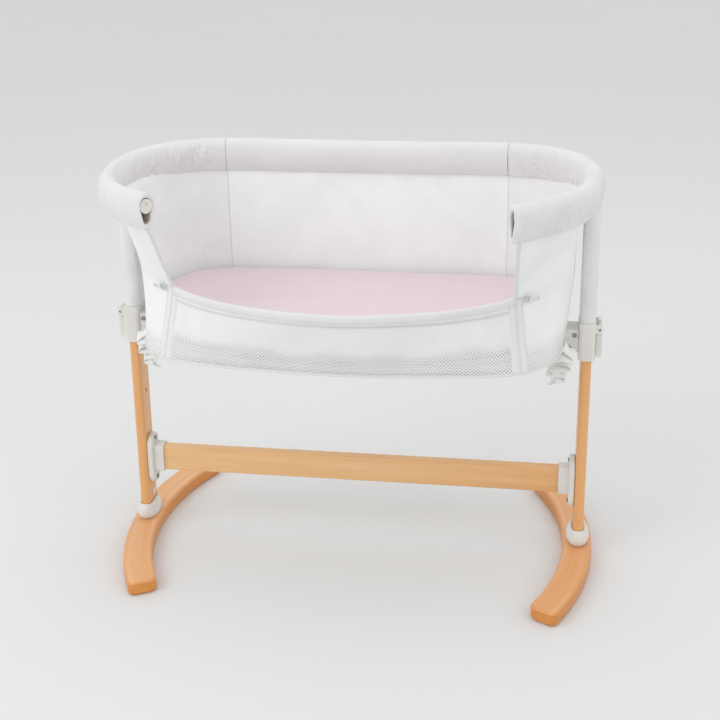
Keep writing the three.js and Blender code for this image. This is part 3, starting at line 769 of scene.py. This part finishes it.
# Rings past the sleeve's last full one: how far forward, the share of the way from the outside to
# the opening, and how much the section is pinched flat.
END_RINGS = {
    "round": [
        (1.6, 0.02, 1.0), (3.6, 0.22, 1.0), (4.6, 0.55, 1.0), (4.0, 0.86, 1.0), (2.0, 1.0, 1.0),
        (-4, 1.0, 0.98), (-14, 1.0, 0.94), (-26, 1.0, 0.92),
    ],
    "pinched": [
        (2.5, 0.02, 0.95), (6.0, 0.06, 0.84), (9.5, 0.12, 0.72), (12.0, 0.26, 0.64), (13.0, 0.5, 0.54),
        (12.6, 0.8, 0.46), (10.5, 1.0, 0.42), (7.0, 1.0, 0.5), (3.0, 1.0, 0.92), (-6, 1.0, 0.92),
        (-24, 1.0, 0.90),
    ],
}
INNER_RINGS = 3  # how many of an end's last rings lie inside the sleeve


def end_ring(path, s, forward, share, pinch):
    """A ring past the sleeve's last full one, between the section and the opening."""
    along = path.along(s - 2)
    out, up = side_axes(along)
    centre = path.at(s) + along * forward
    ring = []
    for (a, b), (c, d) in zip(PROFILE, OPENING):
        where = Vector((a * 0.16, b * 0.16, forward * 0.2 + pinch * 9))
        crumple = 1.6 * noise.noise(where) * (1.4 - pinch)
        x = (a + (c - a) * share) * pinch + SLEEVE_SHIFT * path.inside * (1 - share)
        z = b + (d - b) * share
        ring.append(centre + out * (x + crumple) + up * (z + crumple))
    return ring


def curvature(path, s):
    """0 on a straight run to about 1 in the rail's bends."""
    turn = path.along(s - 20).angle(path.along(s + 20), 0)
    return min(1.2, turn * 4.0)


def sleeve_ring(path, s, scale, seed, amount):
    """One ring of the sleeve, shrunk about its middle by scale and wrinkled by amount."""
    out, up = side_axes(path.along(s))
    centre = path.at(s)
    middle = SLEEVE_MIDDLE
    ring = []
    for k, (a, b) in enumerate(PROFILE):
        before = PROFILE[k - 1]
        after = PROFILE[(k + 1) % SECTION_STEPS]
        normal = Vector((after[1] - before[1], before[0] - after[0])).normalized()
        if normal.x * a + normal.y * b < 0:
            normal = -normal
        d = wrinkle(s, k, seed, amount) if amount else 0
        x = a * scale + normal.x * d + SLEEVE_SHIFT * path.inside
        z = middle + (b - middle) * scale + normal.y * d
        ring.append(centre + out * x + up * z)
    return ring


def eased_path(path, share):
    """The same length of path with share of each bend taken out, as the sleeve was cut."""
    points = [path.points[0].copy()]
    turned = 0.0
    first = last = path.points[1] - path.points[0]
    for a, b in zip(path.points, path.points[1:]):
        ahead = b - a
        turned += math.atan2(last.x * ahead.y - last.y * ahead.x, last.x * ahead.x + last.y * ahead.y)
        last = ahead
        straight = Matrix.Rotation(turned * (1 - share), 3, "Z") @ first.normalized()
        points.append(points[-1] + straight * ahead.length)
    eased = Path(points)
    eased.inside = path.inside
    return eased


def add_cloth(piece, pressure, stiff, bending):
    """A light cloth under pressure, without gravity."""
    cloth = piece.modifiers.new("cloth", "CLOTH")
    cloth.settings.quality = 6
    cloth.settings.mass = 0.25
    cloth.settings.tension_stiffness = stiff
    cloth.settings.compression_stiffness = stiff
    cloth.settings.shear_stiffness = stiff * 0.4
    cloth.settings.bending_stiffness = bending
    cloth.settings.use_pressure = True
    cloth.settings.uniform_pressure_force = pressure
    cloth.settings.effector_weights.gravity = 0
    cloth.collision_settings.use_collision = False
    return cloth


SETTLE_STEPS = 20


def settle(piece, cut, held, pressure, stiff, bending, cap, dent):
    """Cloth simulation from the drawn shape towards the cut one, with the held points fixed.

    No point moves further than cap millimetres, or inwards further than dent, and the result
    replaces the mesh's points.
    """
    mesh = piece.data
    start = [v.co.copy() for v in mesh.vertices]
    normals = [v.normal.copy() for v in mesh.vertices]
    facing = sum(v.normal.dot(v.co - middle_of(start, v.index)) for v in mesh.vertices)
    outwards = math.copysign(1, facing)
    piece.shape_key_add(name="Basis")
    key = piece.shape_key_add(name="cut")
    for point, p in zip(key.data, cut):
        point.co = p * MM
    piece.vertex_groups.new(name="held").add(held, 1.0, "REPLACE")
    cloth = add_cloth(piece, pressure * outwards, stiff, bending)
    cloth.settings.vertex_group_mass = "held"
    cloth.settings.rest_shape_key = key
    scene = bpy.context.scene
    for step in range(1, SETTLE_STEPS + 1):
        scene.frame_set(step)
    solved = piece.evaluated_get(bpy.context.evaluated_depsgraph_get())
    moves = [v.co - p for v, p in zip(solved.data.vertices, start)]
    piece.modifiers.remove(cloth)
    piece.shape_key_clear()
    for v, p, normal, move in zip(mesh.vertices, start, normals, moves):
        move = move * min(1, cap * MM / max(move.length, 1e-9))
        inwards = -move.dot(normal) * outwards
        v.co = p + move + normal * (outwards * max(0, inwards - dent * MM))
    mesh.update()
    scene.frame_set(1)


def middle_of(points, index):
    """Middle of the sleeve's ring that a point belongs to."""
    first = index - index % SECTION_STEPS
    return (points[first] + points[first + SECTION_STEPS // 2]) / 2


CUT_SHARE = 0.5  # how much of each bend the sewn sleeve lacks
HELD_BY_HEM = 4  # a ring's points nearer than this to the lower seam are held still
HEM_INSET = 3  # how far the hem's piping stops short of an open end


def sleeve_hem(path, inset, sag):
    """The line of the sleeve's lower seam."""
    lowest = SLEEVE_BOTTOM * SLEEVE_SIDE[-1][0] - 0.6
    points = []
    for s in spread(0, path.length - inset, 120):
        down = Vector((0, 0, -lowest - sag * end_share(path, s)))
        across = side_axes(path.along(s))[0] * (SLEEVE_SHIFT * path.inside)
        points.append(path.at(s) + across + down)
    return Path(points)


def make_sleeve(name, path, seed, amount, cut_end, end=None, sag=0.0, cut_share=CUT_SHARE):
    """One padded length of sleeve: cut straighter than the rail, so it wrinkles inside the bends."""
    args = (seed, amount, cut_end, end, sag)
    rows = sleeve_rows(path, path, *args)
    piece = grid_object(f"sleeve_cloth_{name}", rows, CLOTH, wrap=True)
    cut = [p for row in sleeve_rows(path, eased_path(path, cut_share), *args) for p in row]
    ends = len(END_RINGS[end]) + 1 if end else 1
    held = []
    for i in range(len(rows)):
        fixed = i == 0 or i >= len(rows) - ends
        held += [i * SECTION_STEPS + k for k in range(SECTION_STEPS)
                 if fixed or abs(k - HEM) < HELD_BY_HEM]
    settle(piece, cut, held, pressure=1.5, stiff=15.0, bending=0.02, cap=5.0, dent=1.6)
    if end:
        # the last rings, inside the open end, get the painted shade cloth
        piece.data.materials.append(SLEEVE_END_SHADE)
        inside = (len(rows) - 1 - INNER_RINGS) * SECTION_STEPS
        for face in piece.data.polygons:
            face.material_index = 1 if face.index >= inside else 0
    smooth = piece.modifiers.new("subdivide", "SUBSURF")
    smooth.levels = smooth.render_levels = 1
    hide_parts(f"rail_sleeve_{name}")
    piping(f"sleeve_piping_{name}", sleeve_hem(path, HEM_INSET if end else 0, sag), 1.5)


def build_sleeves():
    make_sleeve("back", rail_path(-SEAM, SEAM), seed=1, amount=0.9, cut_end=SEAM_GAP)
    make_sleeve("right", rail_path(SEAM, RAIL_LAST), seed=5, amount=8.0, cut_end=1.0, end="pinched",
                sag=5.0, cut_share=0.3)
    make_sleeve("left", rail_path(-SEAM, -RAIL_LAST), seed=1, amount=4.0, cut_end=1.0, end="round",
                sag=0.5)


build_sleeves()


# ---------------------------------------------------------------- panels
SLEEVE_INSIDE = 14.0  # height over which a wall's top runs up into the sleeve
TOP_INSET = 7.0  # how far inside the rail's axis the wall's top ends


def wall_point(station, z, out=0.0):
    """Point of the cloth wall; above the CAD panel's top it runs up into the sleeve."""
    if z <= WALL_TOP:
        return surface(station, z) + outward(station, z) * out
    base = surface(station, WALL_TOP)
    x, y = catmull(OUT_RAIL, False, min(abs(station), RAIL_LAST))
    rail = Vector((math.copysign(x, station), y, 0))
    inward = -outward(station, WALL_TOP)
    goal = rail + inward * TOP_INSET
    share = (z - WALL_TOP) / SLEEVE_INSIDE
    flat = Vector((base.x, base.y, 0)).lerp(goal, min(1, share))
    return Vector((flat.x, flat.y, z)) + outward(station, WALL_TOP) * out


def slack(station, z, seed, amount):
    """How far the cloth stands off its drawn surface: long soft folds between its held edges."""
    u = station * 60
    fold = noise.noise(Vector((u * 0.012 + z * 0.004, z * 0.006, seed)))
    ripple = noise.noise(Vector((u * 0.05, z * 0.014, seed + 9)))
    return amount * (fold * 1.3 + ripple * 0.45)


def wall_rows(stations, heights, seed, amount):
    low, high = heights[0], heights[-1]
    rows = []
    for z in heights:
        held = math.sin(math.pi * min(1, max(0, (z - low) / (high - low)))) ** 0.6
        row = []
        for i, station in enumerate(stations):
            side = math.sin(math.pi * i / (len(stations) - 1)) ** 0.4 if 0 < i < len(stations) - 1 else 0
            row.append(wall_point(station, z, slack(station, z, seed, amount) * held * side))
        rows.append(row)
    return rows


def thicken(obj, thickness):
    solid = obj.modifiers.new("thickness", "SOLIDIFY")
    solid.thickness = thickness * MM
    solid.offset = 0


def build_walls():
    heights = spread(WALL_LOW, WALL_TOP + 13, 64)
    rows = wall_rows(spread(-SEAM, SEAM, 110), heights, 1, 1.6)
    back = grid_object("back_panel_mesh", rows, MESH_FINE, slot="mesh_fabric")
    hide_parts("back_wall")
    for side, name in SIDES:
        rows = wall_rows(spread(side * SEAM, side * EDGE, 150), heights, 2 + side, 2.2)
        piece = grid_object(f"side_panel_mesh_{name}", rows, MESH_SIDE, slot="mesh_fabric")
        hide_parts(f"side_wall_{name}")
    for side, name in SIDES:
        seam = [wall_point(side * SEAM, z, 1.0) for z in spread(WALL_LOW + 2, WALL_TOP + 10, 50)]
        piping(f"wall_seam_{name}", Path(seam), 1.6)


BINDING_HALF = 4.2  # half of the front binding's thickness
BINDING_DROP = 17.0  # from the front edge's middle down to the seam of its facing


def build_front():
    stations = [-s for s in spread(EDGE, LAST, 70)][:-1] + spread(LAST, EDGE, 70)
    rows = wall_rows(stations, spread(WALL_LOW, BAND_LOW + 2, 44), 8, 1.5)
    piece = grid_object("front_panel_mesh", rows, MESH_FRONT, slot="mesh_fabric")
    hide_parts("front_panel")
    path = Path([surface(s, WALL_MID) for s in stations])
    half = (BAND_TOP - BAND_LOW) / 2

    def section(s):
        lump = 1 + 0.05 * noise.noise(Vector((s * 0.03, 4, 2)))
        points = []
        for c, d in circle(1, 20):
            out = BINDING_HALF * math.copysign(abs(c) ** 0.8, c)
            up = half * math.copysign(abs(d) ** 0.85, d)
            points.append((out * lump, up * lump))
        return points

    rows = tube_rows(path, section, 4)
    band = make_object("front_binding_cloth", *capped(rows), CLOTH)
    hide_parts("front_binding")
    seam = Path([surface(s, WALL_MID - BINDING_DROP) + outward(s, WALL_MID) * 0.6 for s in stations])
    piping("front_facing_seam", seam, 1.1)
    runs = []
    for z, out in ((WALL_MID - half * 0.50, 3.9), (WALL_MID - BINDING_DROP + 2.6, 0.9)):
        line = Path([surface(s, z) + outward(s, WALL_MID) * out for s in stations])
        runs.append((line, 8, line.length - 8))
    stitch_row("front_binding_stitches", runs, THREAD)


build_walls()
build_front()


# ---------------------------------------------------------------- edges of the side panels
def build_edge(side, name):
    """Padded binding down the side panel's front edge, from the rail's end to the zip."""
    heights = spread(WALL_TOP + 12, BAND_TOP - 4, 60)
    station = side * (EDGE - 0.03)
    path = Path([wall_point(station, z) for z in heights])

    def section(s):
        lump = 1 + 0.06 * noise.noise(Vector((s * 0.05, side, 6)))
        return [(3.0 * lump * a, 4.6 * lump * b) for a, b in circle(1, 14)]

    rows = []
    for s in spread(0, path.length, 60):
        along = path.along(s)
        out = outward(station, WALL_MID if path.at(s).z < WALL_TOP else WALL_TOP)
        wide = along.cross(out).normalized()
        out = wide.cross(along).normalized()
        rows.append([path.at(s) + out * a + wide * b for a, b in section(s)])
    edge = make_object(f"side_edge_{name}", *capped(rows), TRIM)


def strip_rows(station, heights, offsets, out):
    """Rows of a strip down the wall: offsets are millimetres along the outline and off the cloth."""
    rows = []
    for z in heights:
        span = (wall_point(station + 0.1, z) - wall_point(station - 0.1, z)).length / 0.2
        rows.append([wall_point(station + o / span, z, out + h) for o, h in offsets])
    return rows


TAPE_SECTION = [
    (-16, -2.6), (-14, 0.9), (-6, 1.4), (-5, 0.7), (0, 0.7), (5, 0.7), (6, 1.4), (14, 0.9), (16, -2.6),
]
TAPE_SEAMS = (-12.5, 12.5, -7.5, 7.5)
TEETH_ROWS = (-1.15, 1.15)


def tape_lines(station, heights, offsets, out):
    """Runs of stitches down the tape, offset by millimetres from its middle."""
    runs = []
    for o in offsets:
        line = Path([row[0] for row in strip_rows(station, heights, [(o, 0)], out)])
        runs.append((line, 1, line.length - 1))
    return runs


def build_zip(side, name):
    """Zip tape down the corner, with its two rows of coil teeth and a stitch line each side."""
    heights = spread(WALL_LOW + 3, BAND_TOP - 2, 50)
    station = side * EDGE
    rows = strip_rows(station, heights, TAPE_SECTION, 0.8)
    piece = grid_object(f"zip_tape_{name}", rows, TAPE)
    thicken(piece, 0.5)
    teeth = tape_lines(station, heights, TEETH_ROWS, 2.3)
    coil = stitch_row(f"zip_teeth_{name}", teeth, WEBBING, pitch=1.9, length=1.5, r=0.95)
    seams = tape_lines(station, heights, TAPE_SEAMS, 2.35)
    stitch_row(f"zip_stitches_{name}", seams, THREAD, pitch=3.8, length=2.6, r=0.32)


for side, name in SIDES:
    build_edge(side, name)
    build_zip(side, name)


# ---------------------------------------------------------------- bottom
def outline_points(z, inset, count=240):
    points = []
    for i in range(count):
        station = 2 * LAST * i / count
        if station > LAST:
            station -= 2 * LAST
        p = surface(station, z) - outward(station, z) * inset
        points.append(Vector((p.x, p.y, z)))
    return points


def disc_rows(outline, profile):
    """Rings shrinking to the middle: profile is a list of (share of the outline, height)."""
    n = len(outline)
    middle = sum(outline, Vector()) / n
    rows = []
    for share, z in profile:
        rows.append([Vector((*(middle.xy + (p.xy - middle.xy) * share), z)) for p in outline])
    return rows


def build_bottom():
    outline = outline_points(WALL_LOW, 1.0)
    profile = []
    for share in spread(1.0, 0.0, 24):
        profile.append((share, WALL_LOW - 1.2 * math.sin(math.pi * (1 - share) / 2)))
    piece = grid_object("underside_cloth", disc_rows(outline, profile), FLOOR_CLOTH, wrap=True)
    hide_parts("basket_floor")
    loop = outline_points(WALL_LOW + 1.5, -1.2)
    seam = Path(loop + [loop[0].copy()])
    piping("underside_piping", seam, 2.2)


BED_GAP = 12.0  # from the mattress to the walls
BED_ROLL = 11.0  # height of its rolled upper edge
BED_ROLL_LOW = 7.0  # and of the lower one
BED_CROWN = 3.2  # how much higher its middle is


def mattress_profile():
    """From the lower edge up the side and in over the top, as (share of the outline, height)."""
    profile = []
    for a in spread(0, math.pi / 2, 8):
        share = 1 - 0.035 * (1 - math.sin(a))
        profile.append((share, BED_LOW + BED_ROLL_LOW * (1 - math.cos(a))))
    profile.append((1.004, BED_LOW + (BED_TOP - BED_LOW) * 0.45))
    for a in spread(0, math.pi / 2, 12):
        share = 1 - 0.045 * (1 - math.cos(a))
        profile.append((share, BED_TOP - BED_ROLL * (1 - math.sin(a))))
    for share in spread(0.93, 0.0, 46):
        profile.append((share, BED_TOP + BED_CROWN * (1 - share * share)))
    return profile


def build_mattress():
    """Fitted sheet over a foam pad: crowned top, rolled edges, gathers low on its sides."""
    outline = outline_points(BED_TOP - 8, BED_GAP, 320)
    rows = disc_rows(outline, mattress_profile())
    for row in rows:
        for i, p in enumerate(row):
            low = min(1, max(0, (BED_TOP - 14 - p.z) / 16))
            gather = noise.noise(Vector((i * 0.42, p.z * 0.03, 5))) * 1.6 * low
            soft = noise.noise(Vector((p.x * 0.009, p.y * 0.011, 2))) * 1.1
            flat = Vector((p.x, p.y, 0)).normalized()
            row[i] = p + flat * gather + Vector((0, 0, soft if p.z > BED_TOP - 3 else 0))
    piece = grid_object("mattress_sheet", rows, SHEET, slot="pink_sheet", wrap=True)
    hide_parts("mattress")


build_bottom()
build_mattress()


# ---------------------------------------------------------------- strap bundles
def ribbon(name, points, across, width, turn):
    """Folded webbing along the points: a flat band whose width lies across, give or take turn."""
    curve = [Vector(p) for p in points]
    smooth = []
    for i in range(len(curve) - 1):
        p0 = curve[max(i - 1, 0)]
        p3 = curve[min(i + 2, len(curve) - 1)]
        for k in range(8):
            t = k / 8
            a = curve[i] * 2
            b = (curve[i + 1] - p0) * t
            c = (p0 * 2 - curve[i] * 5 + curve[i + 1] * 4 - p3) * t * t
            d = (curve[i] * 3 - p0 - curve[i + 1] * 3 + p3) * t ** 3
            smooth.append((a + b + c + d) / 2)
    smooth.append(curve[-1])
    rows = []
    for i, p in enumerate(smooth):
        twist = turn * noise.noise(Vector((i * 0.06, 3, len(points))))
        wide = (Vector(across) + Vector((0, 0, twist))).normalized()
        rows.append([p + wide * (width * (c / 6 - 0.5)) for c in range(7)])
    piece = grid_object(name, rows, WEBBING, slot="webbing")
    thicken(piece, 1.3)
    return piece


WEBBING_WIDTH = 25
TAIL_WIDTH = 19
# Routes of the webbing, as (share of the bundle's half length outwards, back, down).
STRAP_FOLDS = [
    (0.3, 8, -8), (0.6, 7, 0), (1.05, 2, 4), (1.0, -3, 10), (0.1, -6, 8), (-0.9, -7, 12),
    (-1.1, -4, 18), (-0.2, -1, 17), (0.8, 0, 19), (0.95, -2, 26), (0.1, -5, 26), (-0.8, -8, 28),
    (-1.0, -7, 35), (-0.3, -3, 36), (0.5, -2, 40), (0.4, -5, 46), (-0.3, -7, 44),
]
STRAP_DROP = [
    (-0.1, -4, 26), (-0.18, -7, 33), (-0.34, -9, 41), (-0.30, -7, 48), (-0.52, -8, 54),
    (-0.62, -5, 58), (-0.30, -3, 60), (-0.1, -6, 52),
]


def build_straps():
    """Spare webbing under each lug: folded to and fro, with a loose tail hanging from it."""
    for side, name in SIDES:
        low, high = node_mm(f"strap_{name}")
        middle = (low + high) / 2
        reach = (high.x - low.x) / 2 - 3

        def spots(route):
            start = Vector((middle.x, middle.y, high.z))
            return [start + Vector((side * share * reach, y, -drop)) for share, y, drop in route]

        across = (side * 0.2, 0.78, 0.42)
        stack = ribbon(f"strap_webbing_{name}", spots(STRAP_FOLDS), across, WEBBING_WIDTH, 0.7)
        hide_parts(f"strap_{name}")
        across = (side * 0.93, 0.3, 0.28)
        tail = ribbon(f"strap_tail_{name}", spots(STRAP_DROP), across, TAIL_WIDTH, 0.5)


build_straps()


# ---------------------------------------------------------------- floor, light and camera
FLOOR_COLOR = (0.795, 0.805, 0.81)
FLOOR_HALF = 40  # metres from the middle to an edge


def build_stage():
    mesh = bpy.data.meshes.new("studio_floor")
    corners = [(-1, -1), (1, -1), (1, 1), (-1, 1)]
    mesh.from_pydata([(x * FLOOR_HALF, y * FLOOR_HALF, 0) for x, y in corners], [], [(0, 1, 2, 3)])
    b = Build("studio_floor", FLOOR_COLOR, 0.85)
    drift = b.noise(b.coords(), 0.6, 2)
    b.tint(drift, 0.3, 0.7, FLOOR_COLOR, 0.99)
    b.set("Specular IOR Level", 0.1)
    mesh.materials.append(b.material)
    floor = bpy.data.objects.new("studio_floor", mesh)
    bpy.context.scene.collection.objects.link(floor)


def softbox(name, location, target, size, power):
    """A rectangular area light of the given watts, turned to its target."""
    light = bpy.data.lights.new(name, "AREA")
    light.shape = "RECTANGLE"
    light.size, light.size_y = size
    light.energy = power
    obj = bpy.data.objects.new(name, light)
    obj.location = location
    obj.rotation_mode = "QUATERNION"
    obj.rotation_quaternion = (Vector(target) - Vector(location)).to_track_quat("-Z", "Y")
    bpy.context.scene.collection.objects.link(obj)


WORLD_STRENGTH = 0.83


def build_light():
    world = bpy.data.worlds.new("studio")
    world.use_nodes = True
    background = world.node_tree.nodes["Background"]
    background.inputs["Color"].default_value = (1.0, 1.0, 0.995, 1)
    background.inputs["Strength"].default_value = WORLD_STRENGTH
    bpy.context.scene.world = world
    softbox("key", (-2.6, -2.2, 2.7), (0, 0, 0.45), (2.6, 2.0), 34)
    softbox("fill", (4.4, -2.2, 3.4), (0, 0, 0.55), (2.4, 2.0), 19)
    softbox("top", (0.4, 0.5, 3.4), (0, 0, 0.4), (3.0, 3.0), 10)
    scene = bpy.context.scene
    scene.view_settings.view_transform = "Standard"
    scene.view_settings.look = "None"


CAM_AZ, CAM_EL, CAM_ROLL = (math.radians(a) for a in (9.253, 18.557, -0.966))
CAM_TARGET = Vector((-0.02307, LEG_Y, 0.52614))
CAM_DISTANCE = 2.36725
CAM_LENS = 63.19
CAM_SHIFT = (0.0241, -0.1007)


def build_camera():
    data = bpy.data.cameras.new("camera")
    data.sensor_width = 36
    data.lens = CAM_LENS
    data.shift_x, data.shift_y = CAM_SHIFT
    camera = bpy.data.objects.new("camera", data)
    level = math.cos(CAM_EL)
    back = Vector((math.sin(CAM_AZ) * level, -math.cos(CAM_AZ) * level, math.sin(CAM_EL)))
    right = (-back).cross(Vector((0, 0, 1))).normalized()
    up = right.cross(-back)
    r = right * math.cos(CAM_ROLL) + up * math.sin(CAM_ROLL)
    u = up * math.cos(CAM_ROLL) - right * math.sin(CAM_ROLL)
    matrix = Matrix((r, u, back)).transposed().to_4x4()
    matrix.translation = CAM_TARGET + back * CAM_DISTANCE
    camera.matrix_world = matrix
    bpy.context.scene.collection.objects.link(camera)
    bpy.context.scene.camera = camera


build_stage()
build_light()
build_camera()
